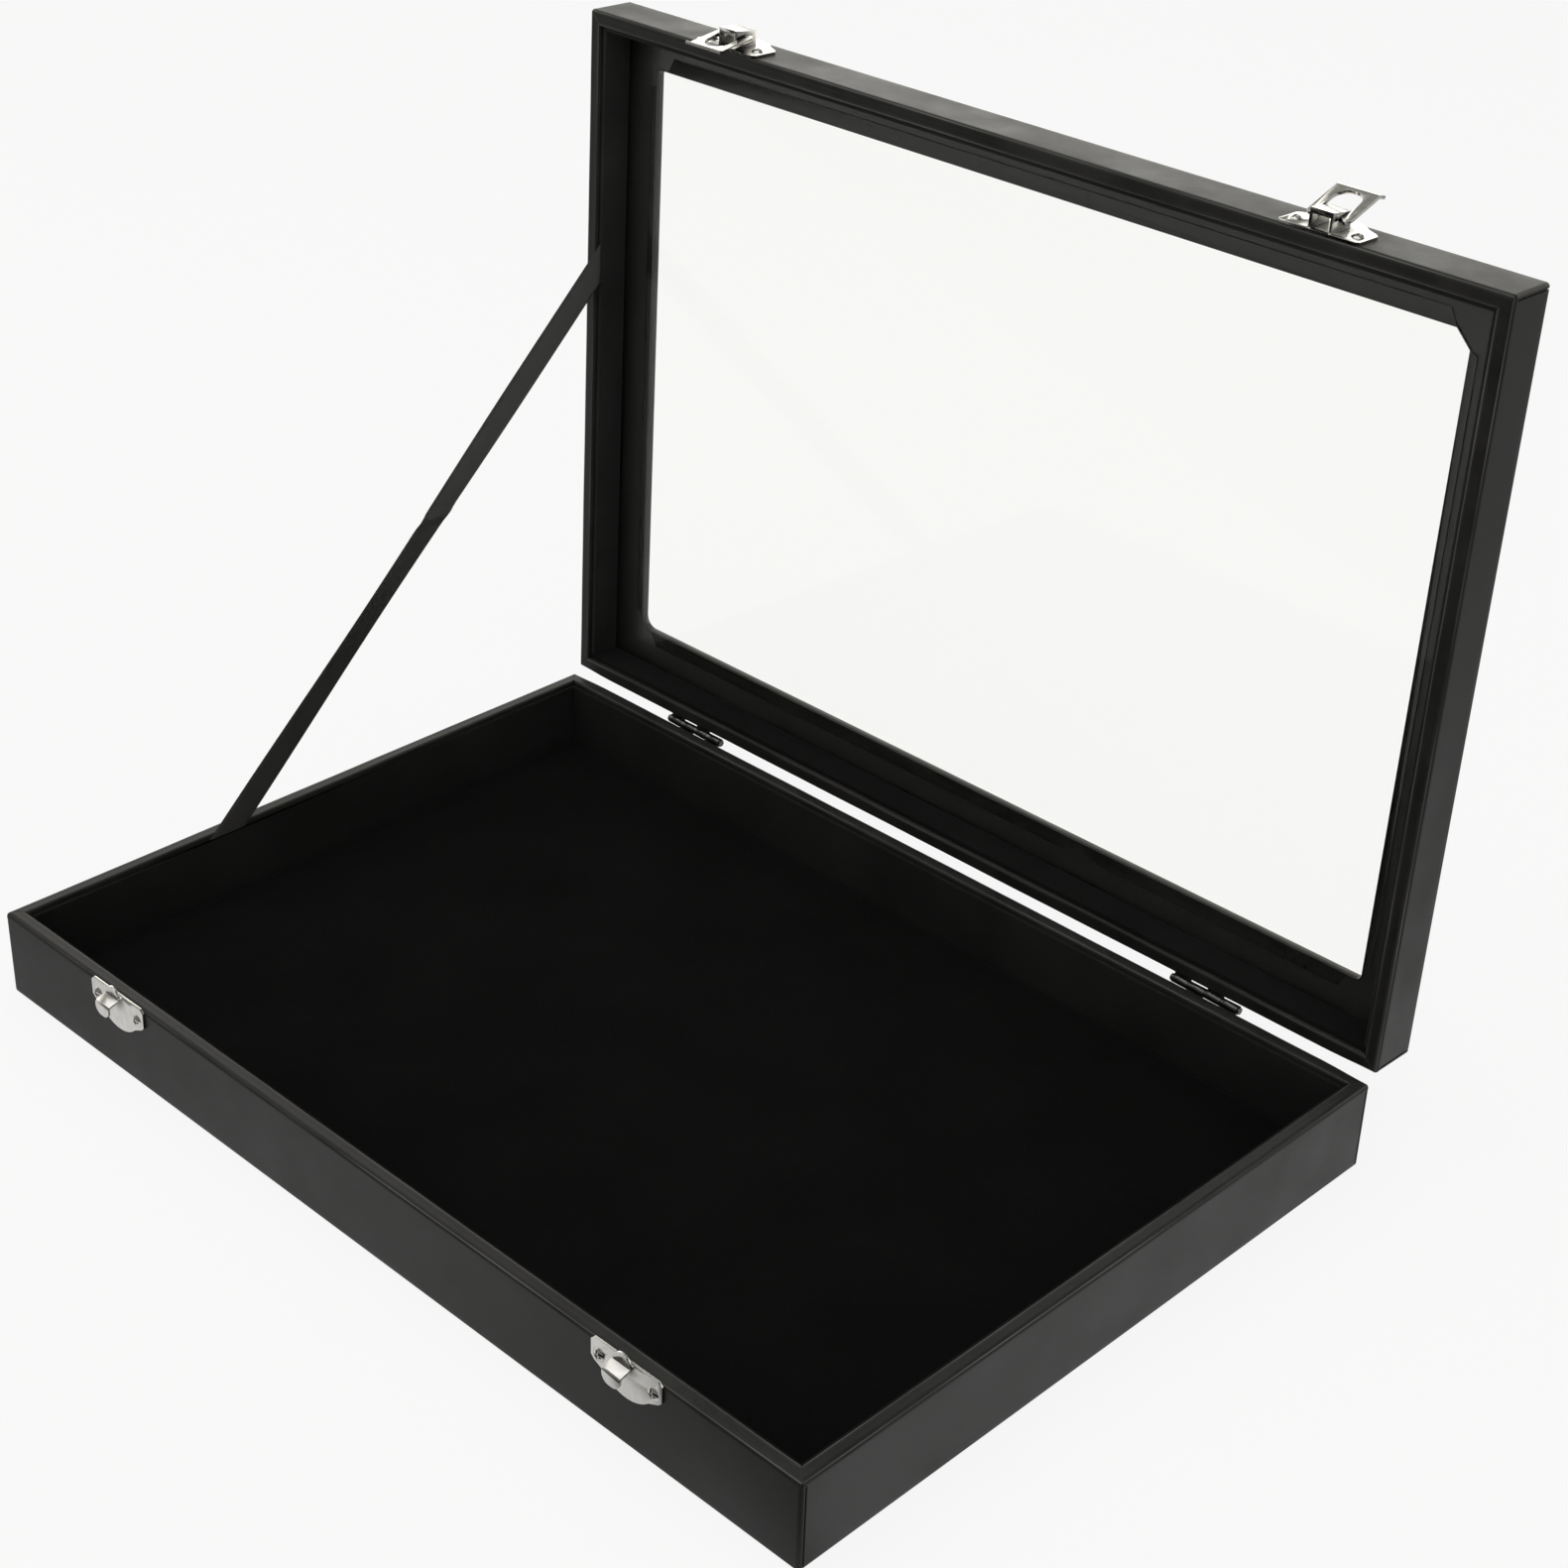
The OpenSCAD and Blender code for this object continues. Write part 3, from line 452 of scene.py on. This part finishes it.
def wrap(side, part):
    """Covering of one side of the base or the lid, mitred at its ends."""
    lid = part == "lid"
    short = side % 2 == 1
    h, turn_in = (LID_H, LID_TURN_IN) if lid else (BASE_H, BASE_TURN_IN)
    length, across = (CASE_D, CASE_W) if short else (CASE_W, CASE_D)
    end = length / 2 - CORNER_R
    seam = length / 2 - SEAM_PLACE if short else None
    stations = wrap_stations(end, seam)
    seed = side + (4 if lid else 0)
    points, wear_and_highlights = [], []
    for kind, value in stations:
        section = wrap_section(h, turn_in, SOFT_R if kind else rounding(side, value, end))
        to_mitre = 0.0 if kind else end - abs(value)
        for u, v, nu, nv, zone, wear_and_highlight in section:
            cut = end - max(0.0, u - CORNER_R)
            turning = kind != 0 and u < CORNER_R
            turn = math.radians(value) * kind if turning else 0.0
            if turning:
                x = kind * end + (CORNER_R - u) * math.sin(turn)
                y = CORNER_R - (CORNER_R - u) * math.cos(turn)
            else:
                x = kind * cut if kind else value * cut / end
                y = u
            out = 0.0
            if zone in ("face", "edge", "rim"):
                out += ripple(x, v, seed) * min(1, to_mitre / RIPPLE_FADE)
            if zone == "rim":
                out -= RIM_SINK
            if zone in ("edge", "rim"):
                if turning:
                    meets = value == CORNER_TURNS[-1]
                    swells = value in SWELL_TURNS
                else:
                    meets = cut < end and to_mitre < 1e-6
                    swells = cut < end and to_mitre < SWELL_REACH
                if meets:
                    out -= MITRE_DEPTH
                elif swells:
                    out += MITRE_SWELL
                # The mitre's fold across the rim gets the whole pale line of wear and painted highlight
                if meets and u < RIM_W - EDGE_R:
                    wear_and_highlight = 1.0
            in_seam = short and not kind and abs(abs(x) - seam) < (SEAM_FLOOR + SEAM_TOP) / 2
            if in_seam and zone in ("face", "low"):
                out -= SEAM_DEPTH
            shift = Vector((-nu * math.sin(turn), nu * math.cos(turn), nv)) * out
            points.append(Vector((x, y, v)) + shift)
            wear_and_highlights.append(wear_and_highlight * wear_and_highlight_strength(x, seed))
    place = Matrix.Rotation(math.radians(90 * side), 4, "Z") @ Matrix.Translation((0, -across / 2, 0))
    if lid:
        place = OPEN_LID @ LID_FACE @ place
    node = f"{part}_wrap_{SIDES[side]}"
    faces = tube(len(stations), len(section))
    piece = make_piece("covering_" + node, [place @ p for p in points], faces, LEATHERETTE, wear_and_highlights)
    stand_for(piece, node, part)


for side in range(4):
    wrap(side, "base")
    wrap(side, "lid")
bevelled("bottom_cover", LEATHERETTE, "base", SHEET_BEVEL)
face_cover = bevelled("lid_face_cover", LEATHERETTE, "lid", FACE_BEVEL)
face_cover.data.materials.append(TURNED_IN_PAINTED_REFLECTION)
# The strips turned in round the window, which face the front or a side, are glossier and painted paler,
# standing in for the glass's reflection over them
for polygon in face_cover.data.polygons:
    polygon.material_index = int(polygon.normal.y < -0.5 or abs(polygon.normal.x) > 0.5)


# Velvet

def pad_marks(size):
    """Places of the pad's points along one direction, close together where it rolls down."""
    near = {round(step * PAD_ROLL, 7) for step in ROLL_STEPS}
    far = {round(size - step * PAD_ROLL, 7) for step in ROLL_STEPS}
    middle = {round(PAD_ROLL + (size - 2 * PAD_ROLL) * i / PAD_STEPS, 7) for i in range(PAD_STEPS + 1)}
    return sorted(near | far | middle)


def floor_pad():
    """Velvet pad, rolled down at its edges, with a slightly uneven top."""
    low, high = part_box("floor_pad")
    w, d = high.x - low.x, high.y - low.y
    xs, ys = pad_marks(w), pad_marks(d)
    points = []
    for y in ys:
        for x in xs:
            t = min(1, min(x, w - x, y, d - y) / PAD_ROLL)
            drop = (1 - math.sqrt(max(0, 1 - (1 - t) ** 2))) * PAD_DROP
            wave = math.sin(x / 0.019 + 1) * math.sin(y / 0.023) + math.sin(x / 0.041 - y / 0.037)
            swell = PAD_WAVE * wave if t >= 1 else 0
            points.append((low.x + x, low.y + y, high.z - drop + swell - PAD_SINK))
    count, rows = len(xs), len(ys)
    faces = [(r * count + c, r * count + c + 1, (r + 1) * count + c + 1, (r + 1) * count + c)
             for r in range(rows - 1) for c in range(count - 1)]
    border = list(range(count))
    border += [r * count + count - 1 for r in range(1, rows)]
    border += [(rows - 1) * count + c for c in range(count - 2, -1, -1)]
    border += [r * count for r in range(rows - 2, 0, -1)]
    foot = len(points)
    points += [(points[i][0], points[i][1], low.z) for i in border]
    n = len(border)
    faces += [(border[i], border[(i + 1) % n], foot + (i + 1) % n, foot + i) for i in range(n)]
    faces.append(tuple(foot + i for i in range(n)))
    piece = make_piece("velvet_floor_pad", points, faces, VELVET)
    stand_for(piece, "floor_pad", "base")


floor_pad()
for side in SIDES:
    # The lid's back lining takes the velvet painted darker for shade at the hinges; the other linings take
    # velvet painted lighter
    lid_velvet = LID_BACK_LINING_PAINTED_SHADE if side == "back" else LID_LINING_PAINTED_LIGHT
    bevelled("base_lining_" + side, BASE_LINING_PAINTED_LIGHTER, "base", CARD_BEVEL, 3)
    bevelled("lid_lining_" + side, lid_velvet, "lid", LID_CARD_BEVEL, 3)


# Strap

def strap():
    """Leatherette strap, stretched from the base's left wall to the lid's, with a slight turn and a
    crease half way."""
    x0 = -CASE_W / 2 + RIM_W + STRAP_GAP + STRAP_T / 2
    lean = REST - math.pi / 2
    reach_y, reach_z = STRAP_LID_REACH * math.sin(lean), STRAP_LID_REACH * math.cos(lean)
    a = Vector((x0, PIN.y - STRAP_BASE_REACH, BASE_H))
    b = Vector((x0, PIN.y + reach_y + LID_GAP / 2, PIN.z + reach_z))
    along = (b - a).normalized()
    flat = Vector((1, 0, 0))
    wide = along.cross(flat)
    run = (b - a).length
    points = []
    for i in range(STRAP_STEPS + 1):
        s = -STRAP_TUCK + (run + 2 * STRAP_TUCK) * i / STRAP_STEPS
        t = min(1, max(0, s / run))
        hold = math.sin(math.pi * t)
        twist = STRAP_TWIST * math.sin(math.pi * min(1, t / TWIST_END)) ** 2
        for layer in (1, -1):
            for k in range(STRAP_ACROSS + 1):
                f = (k / STRAP_ACROSS * 2 - 1) * layer
                w = f * (STRAP_W / 2)
                past = max(0, abs(f) - ROUND_FROM) / (1 - ROUND_FROM)
                thick = STRAP_T / 2 * math.sqrt(max(0.0, 1 - past ** 2)) * layer
                from_crease = (s - run * CREASE_PLACE - w * CREASE_SLANT) / CREASE_WIDTH
                fold = CREASE_HEIGHT * math.exp(-from_crease ** 2) * hold
                cup = STRAP_CUP * (f * f - 0.4) * hold
                n = thick + fold + cup
                points.append(a + along * s + wide * (w * math.cos(twist) - n * math.sin(twist))
                              + flat * (n * math.cos(twist) + w * math.sin(twist)))
    faces = tube(STRAP_STEPS + 1, 2 * (STRAP_ACROSS + 1))
    piece = make_piece("leather_strap", points, faces, STRAPPING)
    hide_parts("strap")
    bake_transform(piece)


strap()


# Hardware, boards and glass

def own_material(name):
    """Material of a CAD node that shows its own shape, or None where a piece stands for it."""
    if name == "glass_pane":
        return GLASS
    if name == "lid_frame_board" or name.startswith("lid_wall_"):
        return PAPER
    if "_wall_" in name or name == "bottom_board":
        return BOARD
    # Hinge pins take the nickel painted dark for shade
    if name.startswith("hinge_pin"):
        return NICKEL_PAINTED_DARK
    return None


for hand in ("left", "right"):
    bevelled("catch_plate_" + hand, NICKEL, "base", PLATE_BEVEL, 3)
    bevelled("hasp_plate_" + hand, NICKEL, "lid", PLATE_BEVEL, 3)
    bevelled("hasp_loop_" + hand, NICKEL, "loop_" + hand, LOOP_BEVEL, 3)
    # Hinge leaves take the nickel painted dark for shade
    bevelled("hinge_base_leaf_" + hand, NICKEL_PAINTED_DARK, "base", LEAF_BEVEL)
    bevelled("hinge_lid_leaf_" + hand, NICKEL_PAINTED_DARK, "lid", LEAF_BEVEL)
bevelled("catch_screws", NICKEL, "base", SCREW_BEVEL)
bevelled("hasp_screws", NICKEL, "lid", SCREW_BEVEL)

for name, node in NODES.items():
    material = own_material(name)
    if material:
        node.data.materials.clear()
        node.data.materials.append(material)


# Camera, floor and light

def make_camera():
    """Camera fitted to the corners of the case in the photo."""
    camera = link_object("camera", bpy.data.cameras.new("camera"))
    camera.data.sensor_width = 36
    camera.data.lens = 66.133
    camera.data.clip_end = 50
    right = Vector((0.7125616, 0.70097427, 0.02985027))
    up = Vector((-0.36958442, 0.33884969, 0.86520994))
    back = Vector((0.59637515, -0.62754758, 0.50052044))
    camera.matrix_world = Matrix((right, up, back)).transposed().to_4x4()
    camera.location = (0.525103, -0.503281, 0.525202)
    bpy.context.scene.camera = camera


def ray_kinds(nodes, links):
    """Values of 0 or 1 for what is seen, also through the glass, for all else, and for reflections."""
    path = nodes.new("ShaderNodeLightPath").outputs
    seen = math_node(nodes, links, "MAXIMUM", path["Is Camera Ray"], path["Is Transmission Ray"])
    return seen, math_node(nodes, links, "SUBTRACT", 1.0, seen), path["Is Glossy Ray"]


def make_floor():
    """White floor that keeps the object's shadow. In reflections it has soft bands and a dark front."""
    mesh = bpy.data.meshes.new("floor")
    corners = ((-1, -1), (1, -1), (1, 1), (-1, 1))
    mesh.from_pydata([(x * FLOOR_HALF, y * FLOOR_HALF, FLOOR_Z) for x, y in corners], [], [(0, 1, 2, 3)])
    floor = link_object("floor", mesh)
    material, nodes, links, shader, place = new_material("floor")
    set_sockets(shader, {"Base Color": (0.9, 0.9, 0.9, 1), "Roughness": 0.9, "Specular IOR Level": 0.0})
    white = nodes.new("ShaderNodeEmission")
    white.inputs["Color"].default_value = (FLOOR_WHITE, FLOOR_WHITE, FLOOR_WHITE, 1)
    seen, unseen, glossy = ray_kinds(nodes, links)
    apart = nodes.new("ShaderNodeSeparateXYZ")
    links.new(place, apart.inputs["Vector"])
    across = span(nodes, links, apart.outputs["X"], 0.0, 1.0, BANDS_LEFT, BANDS_RIGHT)
    bands = ramp(nodes, *BANDS)
    links.new(across, bands.inputs["Fac"])
    ahead = dot(nodes, links, place, FLOOR_FRONT)
    dimmed = span(nodes, links, ahead, BAND_GAIN, 0.0, FRONT_START, FRONT_END,
                  interpolation_type="SMOOTHSTEP")
    mirrored = math_node(nodes, links, "MULTIPLY", bands.outputs["Color"], dimmed)
    gloss = math_node(nodes, links, "MULTIPLY", glossy, unseen)
    links.new(math_node(nodes, links, "MULTIPLY_ADD", gloss, mirrored, seen), white.inputs["Strength"])
    mix = nodes.new("ShaderNodeMixShader")
    links.new(math_node(nodes, links, "MULTIPLY_ADD", seen, FLOOR_GLOW, gloss), mix.inputs["Fac"])
    links.new(shader.outputs["BSDF"], mix.inputs[1])
    links.new(white.outputs["Emission"], mix.inputs[2])
    links.new(mix.outputs["Shader"], nodes["Material Output"].inputs["Surface"])
    mesh.materials.append(material)


def make_studio():
    """Room that looks white and lights the case warmly. In reflections it is bright at the back left, dim
    at the front and darker high up."""
    world = bpy.data.worlds.new("studio")
    bpy.context.scene.world = world
    world.use_nodes = True
    nodes, links = world.node_tree.nodes, world.node_tree.links
    background = nodes["Background"]
    seen, unseen, glossy = ray_kinds(nodes, links)
    colour = add(nodes, "ShaderNodeMix", data_type="RGBA")
    colour.inputs["A"].default_value = ROOM_WARM
    colour.inputs["B"].default_value = ROOM_WHITE
    links.new(seen, colour.inputs["Factor"])
    links.new(colour.outputs["Result"], background.inputs["Color"])
    direction = nodes.new("ShaderNodeTexCoord").outputs["Generated"]
    toward = dot(nodes, links, direction, BRIGHT_SIDE)
    room = span(nodes, links, toward, DIM_ROOM, BRIGHT_ROOM, SIDE_START, SIDE_END,
                interpolation_type="SMOOTHSTEP")
    apart = nodes.new("ShaderNodeSeparateXYZ")
    links.new(direction, apart.inputs["Vector"])
    high = span(nodes, links, apart.outputs["Z"], 1.0, HIGH_LIGHT, HIGH_START, HIGH_END,
                interpolation_type="SMOOTHSTEP")
    sky = math_node(nodes, links, "MULTIPLY", room, high)
    matt = math_node(nodes, links, "SUBTRACT", 1.0, glossy)
    lighting = math_node(nodes, links, "MULTIPLY", matt, ROOM_LIGHT)
    lit = math_node(nodes, links, "MULTIPLY_ADD", sky, glossy, lighting)
    links.new(math_node(nodes, links, "MULTIPLY_ADD", lit, unseen, seen), background.inputs["Strength"])


def softbox(name, place, aim, size, power):
    """Rectangular area light at a place, turned to what it is aimed at."""
    light = link_object(name, bpy.data.lights.new(name, "AREA"))
    light.data.shape = "RECTANGLE"
    light.data.size, light.data.size_y = size
    light.data.energy = power
    light.location = place
    light.rotation_euler = (Vector(aim) - Vector(place)).to_track_quat("-Z", "Y").to_euler()


make_camera()
make_floor()
make_studio()
softbox("overhead", place=(-0.1, -0.4, 1.5), aim=(0, 0, 0.1), size=(2.4, 1.6), power=13)
bpy.context.scene.view_settings.view_transform = "Standard"
